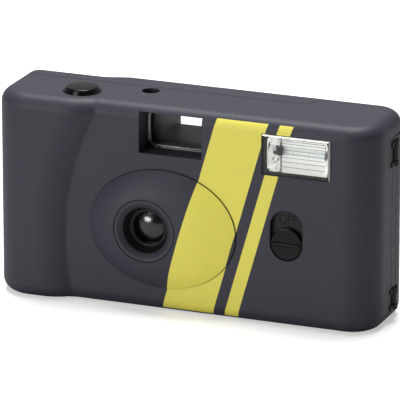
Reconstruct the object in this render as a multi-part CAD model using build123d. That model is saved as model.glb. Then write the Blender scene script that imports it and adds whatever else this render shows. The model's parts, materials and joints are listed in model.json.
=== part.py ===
from build123d import *
import math
import os

# Compact 35 mm film camera with a fixed lens and a built-in flash.
# Millimetres. +X is the right of the front view, the front faces -Y, +Z is up.
# The origin is on the base plane, midway between the left and right sides.
# A pair of numbers is the low and the high limit of a piece on that axis.

# Casing
BODY_WIDTH = 118.0
BODY_HEIGHT = 62.0
FRONT_Y = -13.0
REAR_Y = 16.6
GRIP_PROUD = 3.0
THUMB_REST_STEP = 2.3
THUMB_REST_X = (-34.5, -27.5)
THUMB_REST_BEND = 6.0
WALL = 1.8
EDGE_ROUND = 4.0
CORNER_FRONT_LEFT = 10.5
CORNER_FRONT_RIGHT = 9.6
CORNER_REAR_RIGHT = 8.0
CORNER_REAR_LEFT = 4.6
INNER_GAP = 0.15
FAR = 80.0

# The grip rolls down to the front face along an arc about this centre
GRIP_ARC_X = 43.4
GRIP_ARC_Z = 20.0
GRIP_ARC_R = 80.0
GRIP_ROLL_WIDTH = 9.4
GRIP_FOOT_R = 1.2
GRIP_BLOCK_RIGHT = -12.0

# Seams between the front shell, the rear shell and the film door
SEAM_GAP = 0.24
SIDE_SEAM_Y = 2.8
TOP_SEAM_Y = 6.3
TOP_SEAM_Z = 56.2
CORNER_SEAM_Y = 13.9
TONGUE_X = 41.8
TONGUE_Y = 2.2
TONGUE_R = 11.7
CRANK_TAB_R = 12.4
DOOR_GAP = 0.3
DOOR_LEFT_X = -52.0
DOOR_LOW_Z = 3.8
DOOR_TOP_Z = 47.1
DOOR_TALL_X = 42.0
DOOR_TALL_Y = 14.5
DOOR_SIDE_X = 50.0
DOOR_SIDE_Y = 6.4
DOOR_SIDE_TOP_Z = 55.7
DOOR_WALL = 1.4

# Film door hinge
HINGE_X = 58.75
HINGE_Y = 5.0
LUG_R = 1.5
KNUCKLE_R = 1.25
PIN_R = 0.55
PIN_CLEARANCE = 0.04
LUG_HEIGHT = 1.4
LUG_GAP = 0.15
HINGE_LEVELS = ((47.3, 54.7), (3.7, 10.0))
HINGE_POCKET_X = 56.95
HINGE_POCKET_Y = (0.6, 8.0)

# Door latch on the left side
LATCH_SLOT_Y = (5.2, 8.0)
LATCH_SLOT_Z = (21.0, 35.0)
LATCH_TRAVEL = 3.0
LATCH_STOP_Z = 36.6

# Lens group
LENS_X = -10.3
LENS_Z = 25.4
FASCIA_X = -5.95
FASCIA_HALF_WIDTH = 22.8
FASCIA_HALF_HEIGHT = 17.9
FASCIA_STEP = 0.5
FASCIA_SEAT = 0.8
FASCIA_GAP = 0.12
DOME_SECTIONS = 7
DOME_POWER = 1.6
RING_FRONT_Y = -17.0
RING_R = 9.5
RING_FACE_R = 8.35
BORE_R = 7.27
BORE_EDGE_Y = -16.05
BARREL_HOLE_R = 8.4
RETAINER_R = 5.15
RETAINER_FRONT_Y = -13.2
GLASS_OPENING_R = 4.7
GLASS_R = 5.0
GLASS_EDGE_Y = (-12.1, -10.65)
GLASS_FRONT_SPHERE_R = 10.0
GLASS_REAR_SPHERE_R = 9.0

# Shutter
APERTURE_Y = (-9.95, -9.6)
BLADE_Y = (-9.4, -9.1)
SHUTTER_BASE_Y = (-8.7, -7.5)
BLADE_X = LENS_X - 7.0
BLADE_Z = LENS_Z + 8.0
BLADE_PIN_R = 0.75
APERTURE_R = 1.25
LEVER_X = -25.5
LEVER_Z = 50.5
LEVER_Y = (-10.75, -10.05)
LEVER_PIN_R = 1.2

# Viewfinder
FINDER_X = (-13.4, 6.2)
FINDER_Z = (47.8, 60.2)
FINDER_WALL = 0.9
FINDER_WINDOW_Y = (-5.55, -4.25)
EYEPIECE_X = (-11.4, 4.2)
EYEPIECE_Z = (48.9, 57.5)
EYEPIECE_Y = (14.95, 17.0)
EYEPIECE_FLARE = (0.85, 0.6)
FINDER_LEDGE = 1.4
FINDER_TUNNEL_WALL = 0.7

# Flash
FLASH_X = (24.6, 45.9)
FLASH_Z = (45.6, 58.0)
FLASH_MID_X = (FLASH_X[0] + FLASH_X[1]) / 2
FLASH_MID_Z = (FLASH_Z[0] + FLASH_Z[1]) / 2
FLASH_PROUD = 0.8
FLASH_TUBE_Y = -8.2
FLASH_TUBE_R = 1.15

# Flash switch
SWITCH_X = 32.4
SWITCH_Z = 27.9
SLOT_WIDTH = 10.2
SLOT_HEIGHT = 15.4
SWITCH_FLOOR_Y = -11.5
KNOB_R = 4.8
KNOB_REST_Z = 25.35
KNOB_TRAVEL = 5.1
KNOB_STEM_DROP = 1.7
KNOB_STEM_R = 1.1

# Shutter button and frame counter
BUTTON_X = -34.5
BUTTON_Y = -4.8
BUTTON_R = 5.5
BUTTON_TOP_R = 4.9
BUTTON_TOP_Z = 63.7
BUTTON_FLANGE_R = 6.3
BUTTON_STEM_R = 1.5
BUTTON_STEM_Z = 54.75
BUTTON_CUP_Z = (56.4, 60.4)
BUTTON_CUP_R = 7.6
COUNTER_HOLE_X = -15.9
COUNTER_HOLE_Y = 2.6
COUNTER_HOLE_R = 2.65
DIAL_X = -21.5
DIAL_Y = -1.0
DIAL_R = 8.0
DIAL_TEETH = 40
DIAL_Z = (55.9, 57.2, 58.0)
DIAL_POST_R = 1.4

# Film path
CARTRIDGE_X = 43.5
CARTRIDGE_Y = 2.55
CARTRIDGE_BORE_R = 12.7
CARTRIDGE_ROOF_Z = 46.6
CHAMBER_WALL = 0.75
GATE_WIDTH = 36.0
GATE_HEIGHT = 24.0
GATE_Y = (10.4, 12.4)
GATE_X = (-33.6, 33.2)
RAIL_Y = 13.0
RAIL_X = (-26.0, 28.5)
TUNNEL_FRONT_WIDTH = 14.0
TUNNEL_FRONT_HEIGHT = 12.0
TUNNEL_WALL = 1.0
JOINT_GAP = 0.05
TAKEUP_X = -44.0
TAKEUP_Y = 2.3
TAKEUP_BORE_R = 10.4
SPOOL_R = 5.0
SPOOL_FLANGE_R = 8.6
SPROCKET_X = -28.6
SPROCKET_Y = 6.95
SPROCKET_R = 5.7
SPROCKET_TEETH = 8
PERFORATION_Z = 40.8
WHEEL_R = 12.7
WHEEL_Z = (48.6, 52.4)
WHEEL_RIBS = 60
WHEEL_SLOT_HALF_WIDTH = 8.5
BOTTOM_DECK_Z = (2.0, 3.2)
TOP_DECK_Z = (45.2, 46.4)
DECK_Y = (-9.4, 12.0)
DECK_LEFT_X = -55.0
RUNNING = 0.05

# Rewind crank and button on the base
CRANK_RECESS_R = 10.4
CRANK_DISC_Z = (1.15, 1.85)
CRANK_ARM_Z = (0.2, 0.85)
CRANK_PIVOT_X = CARTRIDGE_X - 8.0
CRANK_PIVOT_Z = 0.65
CRANK_PIN_R = 0.3
CRANK_KNOB_X = CARTRIDGE_X + 6.2
REWIND_BUTTON_X = SPROCKET_X
REWIND_BUTTON_Y = SPROCKET_Y

# Battery bay for one small cell standing upright
BATTERY_X = 18.0
BATTERY_Y = -4.2
BATTERY_BORE_R = 5.5
BATTERY_TOP_Z = 52.4
BATTERY_HOLDER_R = 6.2
HATCH_X = 11.4
HATCH_Y = (-9.4, 1.0)
HATCH_HINGE_X = 24.2
HATCH_HINGE_Z = 1.0
HATCH_SWING_ROOM = 1.7
HATCH_PIN_R = 0.35

# Circuit board, ready lamp and screws
BOARD_X = (9.7, 29.4)
BOARD_Y = (4.6, 5.8)
LAMP_X = 11.5
LAMP_Z = 53.2
LAMP_R = 1.6
SCREW_FRONT = ((-50.5, -9.8), (3.0, -6.8), (28.5, -6.6))
SCREW_REAR = ((-20.0, 10.2), (28.5, 10.3))
SCREW_R = 0.78
SCREW_HEAD_R = 1.4

os.makedirs("parts", exist_ok=True)


# Plain solids placed by their limits

def block(x, y, z):
    size = Box(x[1] - x[0], y[1] - y[0], z[1] - z[0])
    return size.moved(Location(((x[0] + x[1]) / 2, (y[0] + y[1]) / 2, (z[0] + z[1]) / 2)))


def rod_z(x, y, r, z):
    return Cylinder(r, z[1] - z[0]).moved(Location((x, y, (z[0] + z[1]) / 2)))


def rod_y(x, z, r, y):
    return Cylinder(r, y[1] - y[0]).moved(Location((x, (y[0] + y[1]) / 2, z), (90, 0, 0)))


def rod_x(y, z, r, x):
    return Cylinder(r, x[1] - x[0]).moved(Location(((x[0] + x[1]) / 2, y, z), (0, 90, 0)))


def tube_z(x, y, outer, inner, z):
    return rod_z(x, y, outer, z) - rod_z(x, y, inner, (z[0] - 1, z[1] + 1))


def tube_y(x, z, outer, inner, y):
    return rod_y(x, z, outer, y) - rod_y(x, z, inner, (y[0] - 1, y[1] + 1))


def front_plane(y):
    """A sketch plane that faces the front: local x is +X, local y is +Z."""
    return Plane(origin=(0, y, 0), x_dir=(1, 0, 0), z_dir=(0, -1, 0))


def prism_y(profile, y):
    """Extrude a profile drawn in X and Z through a range of depths."""
    return extrude(front_plane(y[1]) * profile, amount=y[1] - y[0])


def prism_z(profile, z):
    """Extrude a profile drawn in X and Y through a range of heights."""
    return extrude(Pos(0, 0, z[0]) * profile, amount=z[1] - z[0])


def rectangle_at(x, z, corner=0.0):
    """A rectangle drawn in X and Z from its limits, with optional round corners."""
    middle = Pos((x[0] + x[1]) / 2, (z[0] + z[1]) / 2)
    if corner:
        return middle * RectangleRounded(x[1] - x[0], z[1] - z[0], corner)
    return middle * Rectangle(x[1] - x[0], z[1] - z[0])


def grown(limits, amount):
    return (limits[0] - amount, limits[1] + amount)


def stadium(x, z, width, height):
    """An upright slot with round ends."""
    return Pos(x, z) * Rot(0, 0, 90) * SlotOverall(height, width)


def lathe_y(points, x, z):
    """Turn a closed profile of (radius, y) points about an axis along Y."""
    plane = Plane(origin=(x, 0, z), x_dir=(1, 0, 0), z_dir=(0, 0, 1))
    return revolve(plane * make_face(Polyline(*points, close=True)), Axis((x, 0, z), (0, 1, 0)))


def lathe_z(points, x, y):
    """Turn a closed profile of (radius, z) points about an axis along Z."""
    plane = Plane(origin=(x, y, 0), x_dir=(1, 0, 0), z_dir=(0, -1, 0))
    return revolve(plane * make_face(Polyline(*points, close=True)), Axis((x, y, 0), (0, 0, 1)))


def toothed_wheel(x, y, teeth, root_r, tip_r, fill):
    """A wheel outline with straight-sided teeth that fill a share of the pitch."""
    pitch = 2 * math.pi / teeth
    points = []
    for tooth in range(teeth):
        for offset, radius in ((-0.5, root_r), (-0.25, tip_r), (0.25, tip_r), (0.5, root_r)):
            angle = (tooth + offset * fill) * pitch
            points.append((x + radius * math.cos(angle), y + radius * math.sin(angle)))
    return make_face(Polyline(*points, close=True))


def save(name, *solids):
    """Write one node. Several solids in one node stay separate."""
    shape = solids[0] if len(solids) == 1 else Compound(children=list(solids))
    export_step(shape, f"parts/{name}.step")


# Outer form of the casing, and the same form offset inwards for the cavity

def main_prism(inset):
    half = BODY_WIDTH / 2 - inset
    front = FRONT_Y + inset
    rear = REAR_Y - inset
    rest = rear - THUMB_REST_STEP
    points = (
        (-half, front), (half, front), (half, rear),
        (THUMB_REST_X[1], rear), (THUMB_REST_X[0], rest), (-half, rest),
    )
    radii = (
        CORNER_FRONT_LEFT - inset, CORNER_FRONT_RIGHT - inset, CORNER_REAR_RIGHT - inset,
        THUMB_REST_BEND, THUMB_REST_BEND, CORNER_REAR_LEFT - inset,
    )
    outline = make_face(FilletPolyline(*points, radius=radii, close=True))
    return prism_z(outline, (inset, BODY_HEIGHT - inset))


def grip_prism(inset):
    left = -BODY_WIDTH / 2 + inset
    front = FRONT_Y - GRIP_PROUD + inset
    rest = REAR_Y - THUMB_REST_STEP - inset
    points = ((left, front), (GRIP_BLOCK_RIGHT, front), (GRIP_BLOCK_RIGHT, rest), (left, rest))
    radii = (CORNER_FRONT_LEFT - inset, 0, 0, CORNER_REAR_LEFT - inset)
    outline = make_face(FilletPolyline(*points, radius=radii, close=True))
    return prism_z(outline, (inset, BODY_HEIGHT - inset))


def on_circle(centre_x, centre_y, r, angle):
    return (centre_x + r * math.cos(angle), centre_y + r * math.sin(angle))


def grip_roll(inset):
    """Ring whose face rolls from the grip down to the front face in an S."""
    crest_y = FRONT_Y - GRIP_PROUD + inset
    low_y = FRONT_Y + inset
    crest = GRIP_ARC_R + inset + GRIP_ROLL_WIDTH
    roll_r = (GRIP_ROLL_WIDTH ** 2 + GRIP_PROUD ** 2) / (2 * GRIP_PROUD)
    roll_y = crest_y + roll_r
    foot_y = low_y - GRIP_FOOT_R
    foot = crest - math.sqrt((roll_r + GRIP_FOOT_R) ** 2 - (roll_y - foot_y) ** 2)
    lean = math.atan2(roll_y - foot_y, crest - foot)
    join = on_circle(foot, foot_y, GRIP_FOOT_R, lean)
    foot_mid = on_circle(foot, foot_y, GRIP_FOOT_R, (lean + math.pi / 2) / 2)
    roll_mid = on_circle(crest, roll_y, roll_r, (lean + math.pi * 1.5 + math.pi) / 2)
    outside = GRIP_ARC_R + 50.0
    profile = (
        ThreePointArc((foot, low_y), foot_mid, join)
        + ThreePointArc(join, roll_mid, (crest, crest_y))
        + Polyline(
            (crest, crest_y), (crest, crest_y - 5), (outside, crest_y - 5),
            (outside, REAR_Y + 5), (foot, REAR_Y + 5), (foot, low_y),
        )
    )
    plane = Plane(origin=(GRIP_ARC_X, 0, GRIP_ARC_Z), x_dir=(-1, 0, 0), z_dir=(0, 0, -1))
    return revolve(plane * make_face(profile), Axis((GRIP_ARC_X, 0, GRIP_ARC_Z), (0, 1, 0)))


def casing_form(inset):
    solid = main_prism(inset) + (grip_prism(inset) & grip_roll(inset))
    levels = solid.faces().sort_by(Axis.Z)
    return fillet(levels[0].edges() + levels[-1].edges(), EDGE_ROUND - inset)


outer_form = casing_form(0.0)
casing_skin = outer_form - casing_form(WALL)


# Regions that share the casing out between its three mouldings

def front_region(grow):
    """All ahead of the side seam, and the top panel with its rounded tongue."""
    body = block((-FAR, FAR), (-FAR, SIDE_SEAM_Y + grow), (-FAR, FAR))
    crank_tab = rod_z(CARTRIDGE_X, CARTRIDGE_Y, CRANK_TAB_R - grow, (-5, DOOR_LOW_Z))
    top = (TOP_SEAM_Z - grow, FAR)
    panel = block((-FAR, FAR), (-5, TOP_SEAM_Y + grow), top)
    tongue = rod_z(TONGUE_X, TONGUE_Y, TONGUE_R + grow, top)
    corner = block((TONGUE_X, FAR), (-5, CORNER_SEAM_Y + grow), top)
    return (body - crank_tab) + panel + tongue + corner


def hinge_zone(x, y, margin):
    """A block at each of the two hinge levels."""
    zones = [block(x, y, grown(level, margin)) for level in HINGE_LEVELS]
    return zones[0] + zones[1]


def door_region(gap):
    """The rear door: low under the eyepiece housing, tall behind the cartridge."""
    low = grown((DOOR_LOW_Z, DOOR_TOP_Z), gap)
    rear = block((DOOR_LEFT_X - gap, FAR), (9.0, 30.0), low)
    tall = block((DOOR_TALL_X - gap, FAR), (DOOR_TALL_Y - 3 * gap, 30.0), (DOOR_LOW_Z - gap, FAR))
    side = block(
        (DOOR_SIDE_X, FAR), (DOOR_SIDE_Y - gap, 30.0), (DOOR_LOW_Z - gap, DOOR_SIDE_TOP_Z + 2 * gap))
    return rear + tall + side


# Casing mouldings

def hinge_pockets():
    return hinge_zone((HINGE_POCKET_X - 0.1, FAR), HINGE_POCKET_Y, 0.1)


def screw_hole(x, y):
    """Clearance hole with a recess for the screw head."""
    return rod_z(x, y, SCREW_R + 0.15, (-1, 2.5)) + rod_z(x, y, SCREW_HEAD_R + 0.12, (-1, 1.1))


def hatch_opening():
    return block((HATCH_X - 0.2, HATCH_HINGE_X + HATCH_SWING_ROOM), grown(HATCH_Y, 0.15), (-5, 4))


def button_cup():
    """Guide for the shutter button, with a floor that its stem passes through."""
    wall = tube_z(BUTTON_X, BUTTON_Y, BUTTON_CUP_R, BUTTON_FLANGE_R + 0.4, BUTTON_CUP_Z)
    floor_z = (BUTTON_CUP_Z[0], BUTTON_CUP_Z[0] + 0.9)
    floor = tube_z(BUTTON_X, BUTTON_Y, BUTTON_CUP_R, BUTTON_STEM_R + 0.1, floor_z)
    dial_room = rod_z(DIAL_X, DIAL_Y, DIAL_R + 0.35, (BUTTON_CUP_Z[0] - 1, DIAL_Z[2] + 0.4))
    return wall + floor - dial_room


def make_front_shell():
    shell = (casing_skin & front_region(0.0)) - hinge_pockets()
    through = (-30.0, -5.0)
    finder = block(FINDER_X, through, FINDER_Z)
    flash = prism_y(rectangle_at(FLASH_X, FLASH_Z, 0.5), through)
    switch = prism_y(stadium(SWITCH_X, SWITCH_Z, SLOT_WIDTH, SLOT_HEIGHT), through)
    seat = Ellipse(FASCIA_HALF_WIDTH + FASCIA_GAP, FASCIA_HALF_HEIGHT + FASCIA_GAP)
    fascia_seat = prism_y(Pos(FASCIA_X, LENS_Z) * seat, (FRONT_Y - 1, FRONT_Y + FASCIA_SEAT))
    barrel_hole = rod_y(LENS_X, LENS_Z, BARREL_HOLE_R, through)
    recess_y = (FRONT_Y + 0.5, FINDER_WINDOW_Y[0] - JOINT_GAP)
    shell += block(grown(FINDER_X, FINDER_WALL), recess_y, grown(FINDER_Z, FINDER_WALL)) & outer_form
    shell = shell - finder - flash - switch - fascia_seat - barrel_hole
    shell += button_cup()
    shell -= rod_z(BUTTON_X, BUTTON_Y, BUTTON_R + 0.12, (BUTTON_CUP_Z[1] - 2, FAR))
    shell -= rod_z(COUNTER_HOLE_X, COUNTER_HOLE_Y, COUNTER_HOLE_R, (58.0, FAR))
    shell -= hatch_opening()
    shell -= rod_y(HATCH_HINGE_X, HATCH_HINGE_Z, HATCH_PIN_R + 0.02, grown(HATCH_Y, 0.7))
    for x, y in SCREW_FRONT:
        shell -= screw_hole(x, y)
    return shell


def rear_shell_lips():
    """Light lips that reach under the front shell on the left side and the top."""
    lips = block((-50.0, 28.0), (4.6, 8.0), (59.1, 60.1)) + block((-50.0, 28.0), (6.7, 8.0), (59.1, 60.3))
    for level in ((5.0, 18.0), (38.0, 46.0)):
        lips += block((-57.1, -56.1), (0.8, 5.0), level) + block((-57.3, -56.1), (3.2, 5.0), level)
    return lips - rod_z(COUNTER_HOLE_X, COUNTER_HOLE_Y, COUNTER_HOLE_R + 0.8, (50, 70))


def make_rear_shell():
    shell = casing_skin - front_region(SEAM_GAP) - door_region(DOOR_GAP)
    shell += rear_shell_lips()
    side_flange = block((56.0, 57.3), (4.4, DOOR_SIDE_Y - DOOR_GAP), (1.2, TOP_SEAM_Z - SEAM_GAP))
    shell += side_flange & outer_form
    shell -= hinge_pockets()
    shell += block((-57.3, -56.2), (6.0, 7.2), (LATCH_STOP_Z, LATCH_STOP_Z + 0.9))
    through = (12.0, 30.0)
    eyepiece = block(grown(EYEPIECE_X, 1.6), through, (EYEPIECE_Z[0] - 1.2, EYEPIECE_Z[1] + 1.6))
    wheel_x = (TAKEUP_X - WHEEL_SLOT_HALF_WIDTH, TAKEUP_X + WHEEL_SLOT_HALF_WIDTH)
    wheel_slot = block(wheel_x, (8.0, 30.0), grown(WHEEL_Z, 0.5))
    lamp_hole = rod_y(LAMP_X, LAMP_Z, LAMP_R, through)
    latch_slot = block((-62.0, -56.5), LATCH_SLOT_Y, LATCH_SLOT_Z)
    shell = shell - eyepiece - wheel_slot - lamp_hole - latch_slot
    shell -= rod_z(CARTRIDGE_X, CARTRIDGE_Y, CRANK_RECESS_R, (-5, 5))
    shell -= rod_z(REWIND_BUTTON_X, REWIND_BUTTON_Y, 2.3, (-5, 5))
    for x, y in SCREW_REAR:
        shell -= screw_hole(x, y)
    return shell


def make_film_door():
    door = (outer_form - casing_form(DOOR_WALL)) & door_region(0.0)
    return door - hinge_zone((54.5, FAR), HINGE_POCKET_Y, 0.25)


def make_door_light_seals():
    seal_y = (GATE_Y[1] + 0.4, REAR_Y - DOOR_WALL - 0.02)
    return [block((-24.0, 28.0), seal_y, z) for z in ((4.8, 5.7), (45.4, 46.3))]


# Hinges of the film door

def make_hinge_brackets():
    brackets = []
    for z0, z1 in HINGE_LEVELS:
        bracket = block((HINGE_POCKET_X + 0.1, BODY_WIDTH / 2), (0.7, 3.0), (z0, z1))
        for low in (z0, z1 - LUG_HEIGHT):
            level = (low, low + LUG_HEIGHT)
            arm = block((57.4, HINGE_X + 0.6), (2.0, HINGE_Y), level)
            bracket = bracket + arm + rod_z(HINGE_X, HINGE_Y, LUG_R, level)
        brackets.append(bracket - rod_z(HINGE_X, HINGE_Y, PIN_R, (z0 - 1, z1 + 1)))
    return brackets


def make_door_hinge_leaves():
    leaves = []
    for z0, z1 in HINGE_LEVELS:
        level = (z0 + LUG_HEIGHT + LUG_GAP, z1 - LUG_HEIGHT - LUG_GAP)
        knuckle = rod_z(HINGE_X, HINGE_Y, KNUCKLE_R, level)
        arm = block((57.0, 58.3), (HINGE_Y - 0.4, 7.9), level)
        plate = block((56.4, 57.2), (7.0, 10.6), level)
        hole = rod_z(HINGE_X, HINGE_Y, PIN_R + PIN_CLEARANCE, (z0 - 1, z1 + 1))
        leaves.append(knuckle + arm + plate - hole)
    return leaves


def make_hinge_pins():
    return [rod_z(HINGE_X, HINGE_Y, PIN_R, (z0 + 0.1, z1 - 0.1)) for z0, z1 in HINGE_LEVELS]


# Door latch

def make_door_latch():
    knob_z = (LATCH_SLOT_Z[0] + 0.4, LATCH_SLOT_Z[1] - LATCH_TRAVEL - 0.4)
    latch = block((-59.5, -56.9), grown(LATCH_SLOT_Y, -0.2), knob_z)
    latch += block((-56.95, -56.3), grown(LATCH_SLOT_Y, 0.8), grown(knob_z, 1.0))
    grooves = 4
    for index in range(grooves):
        z = knob_z[0] + 1.7 + index * 2.2
        latch -= block((-60.0, -59.2), (0, 20), (z, z + 0.7))
    return latch


def make_latch_spring():
    low_z = LATCH_SLOT_Z[1] - LATCH_TRAVEL - 0.4 + 1.0
    return rod_z(-56.65, 6.6, 0.3, (low_z + 0.02, LATCH_STOP_Z - 0.02))


# Film chassis

def half_chamber(x, y, bore_r, wall, z, left_open_y, right_open_y):
    """A cylindrical chamber wall, open towards the rear."""
    ring = tube_z(x, y, bore_r + wall, bore_r, z)
    left = block((x - 20, x), (y - 20, left_open_y), grown(z, 1.0))
    right = block((x, x + 20), (y - 20, right_open_y), grown(z, 1.0))
    return ring & (left + right)


def tapered_box(margin, y):
    """Pyramid form that runs from the shutter to the film gate, grown by a margin."""
    def section(width, height, depth):
        outline = Rectangle(width + 2 * margin, height + 2 * margin)
        return front_plane(depth) * (Pos(LENS_X, LENS_Z) * outline)

    front_width = TUNNEL_FRONT_WIDTH - 2 * TUNNEL_WALL
    front_height = TUNNEL_FRONT_HEIGHT - 2 * TUNNEL_WALL
    return loft([section(front_width, front_height, y[0]), section(GATE_WIDTH, GATE_HEIGHT, y[1])])


def make_light_tunnel():
    """Baffle that keeps stray light off the film."""
    depth = (SHUTTER_BASE_Y[1], GATE_Y[0] - JOINT_GAP)
    tunnel = tapered_box(TUNNEL_WALL, depth) - tapered_box(0.0, grown(depth, 0.01))
    return tunnel - rod_z(REWIND_BUTTON_X, REWIND_BUTTON_Y, 1.0, (0, 60))


def film_rails():
    """Two inner rails for the film and two outer rails for the pressure plate."""
    inner_y = (GATE_Y[1] - 0.1, RAIL_Y)
    outer_y = (GATE_Y[1] - 0.1, RAIL_Y + 0.25)
    rails = []
    for side in (-1, 1):
        inner_z = LENS_Z + side * (GATE_HEIGHT / 2 + 1.0)
        outer_z = LENS_Z + side * 18.3
        rails.append(block(RAIL_X, inner_y, grown((inner_z, inner_z), 0.5)))
        rails.append(block((RAIL_X[0] + 6, RAIL_X[1]), outer_y, grown((outer_z, outer_z), 0.5)))
    return rails


def chassis_walls():
    """Floor, chambers, gate plate and posts, before any bore is cut."""
    wall_z = (BOTTOM_DECK_Z[0], TOP_DECK_Z[0] - JOINT_GAP)
    disc_r = CARTRIDGE_BORE_R + CHAMBER_WALL
    roof_z = (CARTRIDGE_ROOF_Z, CARTRIDGE_ROOF_Z + 1.0)
    hub_z = (CARTRIDGE_ROOF_Z, CARTRIDGE_ROOF_Z + 6.2)
    pieces = [
        block((DECK_LEFT_X, 30.0), DECK_Y, BOTTOM_DECK_Z),
        block((29.0, 56.0), (CARTRIDGE_Y, DECK_Y[1]), BOTTOM_DECK_Z),
        block(GATE_X, GATE_Y, wall_z),
        block((GATE_X[0], GATE_X[0] + 1.0), (4.0, GATE_Y[1]), (BOTTOM_DECK_Z[0], 38.0)),
        rod_z(CARTRIDGE_X, CARTRIDGE_Y, disc_r, BOTTOM_DECK_Z),
        rod_z(CARTRIDGE_X, CARTRIDGE_Y, disc_r, roof_z),
        rod_z(CARTRIDGE_X, CARTRIDGE_Y, 7.2, hub_z),
        half_chamber(
            CARTRIDGE_X, CARTRIDGE_Y, CARTRIDGE_BORE_R, CHAMBER_WALL,
            (BOTTOM_DECK_Z[0], CARTRIDGE_ROOF_Z + 0.2), GATE_Y[0] + 0.1, 4.2),
        half_chamber(TAKEUP_X, TAKEUP_Y, TAKEUP_BORE_R, 1.0, wall_z, 6.0, 6.0),
        block((GATE_X[0] + 0.4, SPROCKET_X + 2.7), (4.2, GATE_Y[0] + 0.5), (37.6, 38.9)),
        rod_z(REWIND_BUTTON_X, REWIND_BUTTON_Y, 3.7, (BOTTOM_DECK_Z[0], 3.8)),
    ]
    pieces += film_rails()
    pieces += [rod_z(x, y, 2.0, (BOTTOM_DECK_Z[0], 6.6)) for x, y in SCREW_FRONT + SCREW_REAR]
    return pieces


def chassis_cuts():
    """Chambers, bores and windows of the chassis."""
    gate_x = (LENS_X - GATE_WIDTH / 2, LENS_X + GATE_WIDTH / 2)
    gate_z = (LENS_Z - GATE_HEIGHT / 2, LENS_Z + GATE_HEIGHT / 2)
    inside = (BOTTOM_DECK_Z[1], TOP_DECK_Z[0])
    flash_room = block((24.0, 46.6), (-14.0, -6.6), (45.6, 50.0))
    side_flange_room = block((55.9, 60.0), (4.25, 6.3), (0.0, 60.0))
    cuts = [
        tapered_box(TUNNEL_WALL + JOINT_GAP, (SHUTTER_BASE_Y[1], GATE_Y[0])),
        block(gate_x, (GATE_Y[0] - 1, 20), gate_z),
        rod_z(CARTRIDGE_X, CARTRIDGE_Y, CARTRIDGE_BORE_R, (inside[0], CARTRIDGE_ROOF_Z)),
        rod_z(CARTRIDGE_X, CARTRIDGE_Y, 6.2, (CARTRIDGE_ROOF_Z - 1, CARTRIDGE_ROOF_Z + 5.2)),
        rod_z(CARTRIDGE_X, CARTRIDGE_Y, 3.0 + RUNNING, (0, 5)),
        flash_room,
        side_flange_room,
        rod_z(TAKEUP_X, TAKEUP_Y, TAKEUP_BORE_R, inside),
        rod_z(TAKEUP_X, TAKEUP_Y, 1.5 + RUNNING, (0, 5)),
        rod_z(SPROCKET_X, SPROCKET_Y, SPROCKET_R + 1.7, (38.95, 42.8)),
        rod_z(SPROCKET_X, SPROCKET_Y, 1.5 + RUNNING, (38.1, 50)),
        rod_z(REWIND_BUTTON_X, REWIND_BUTTON_Y, 0.9 + RUNNING, (0, 45)),
        rod_z(REWIND_BUTTON_X, REWIND_BUTTON_Y, 3.1, (0, 2.85)),
        rod_z(BATTERY_X, BATTERY_Y, BATTERY_HOLDER_R + JOINT_GAP, (0, 5)),
    ]
    cuts += [rod_z(x, y, SCREW_R + 0.02, (0, 6.2)) for x, y in SCREW_FRONT + SCREW_REAR]
    return cuts


def make_film_chassis():
    pieces = chassis_walls()
    chassis = pieces[0]
    for piece in pieces[1:]:
        chassis += piece
    chassis &= casing_form(WALL + INNER_GAP)
    for cut in chassis_cuts():
        chassis -= cut
    return chassis


def make_mechanism_deck():
    """Deck over the chassis with the posts of the counter dial and the release lever."""
    deck = block((DECK_LEFT_X, 9.0), DECK_Y, TOP_DECK_Z)
    deck += rod_z(DIAL_X, DIAL_Y, DIAL_POST_R + 0.9, (TOP_DECK_Z[0], DIAL_Z[0] - 0.1))
    deck += rod_z(DIAL_X, DIAL_Y, DIAL_POST_R, (TOP_DECK_Z[0], DIAL_Z[2] + 1.2))
    deck += block((LEVER_X - 2.6, LEVER_X + 2.6), (-9.4, -8.0), (TOP_DECK_Z[0], LEVER_Z + 2.2))
    deck &= casing_form(WALL + INNER_GAP)
    deck += rod_y(LEVER_X, LEVER_Z, LEVER_PIN_R, (LEVER_Y[0] - 0.2, -8.2))
    deck -= rod_z(TAKEUP_X, TAKEUP_Y, 2.5 + RUNNING, (44, 50))
    return deck - rod_z(SPROCKET_X, SPROCKET_Y, 1.5 + RUNNING, (40, 50))


def make_battery_holder():
    """Upright tube for the cell with a foot on the chassis floor."""
    holder = rod_z(BATTERY_X, BATTERY_Y, BATTERY_HOLDER_R, (BOTTOM_DECK_Z[0], BATTERY_TOP_Z + 0.8))
    foot_z = (BOTTOM_DECK_Z[1] + JOINT_GAP, BOTTOM_DECK_Z[1] + 1.0)
    holder += rod_z(BATTERY_X, BATTERY_Y, BATTERY_HOLDER_R + 1.0, foot_z)
    holder &= casing_form(WALL + INNER_GAP)
    return holder - rod_z(BATTERY_X, BATTERY_Y, BATTERY_BORE_R, (0, BATTERY_TOP_Z))


# Film transport

def make_takeup_spool():
    spool = rod_z(TAKEUP_X, TAKEUP_Y, SPOOL_R, (4.0, 44.4))
    spool -= block(grown((TAKEUP_X, TAKEUP_X), 0.5), grown((TAKEUP_Y, TAKEUP_Y), 6.0), (9.0, 42.0))
    for level in ((3.4, 4.2), (44.1, 44.9)):
        spool += rod_z(TAKEUP_X, TAKEUP_Y, SPOOL_FLANGE_R, level)
    spool += rod_z(TAKEUP_X, TAKEUP_Y, 1.5, (2.2, 4.5))
    spool += rod_z(TAKEUP_X, TAKEUP_Y, 2.5, (44.0, WHEEL_Z[0] - 0.4))
    return spool + rod_z(TAKEUP_X, TAKEUP_Y, 1.8, (47.0, WHEEL_Z[1] - 1.2))


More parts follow.
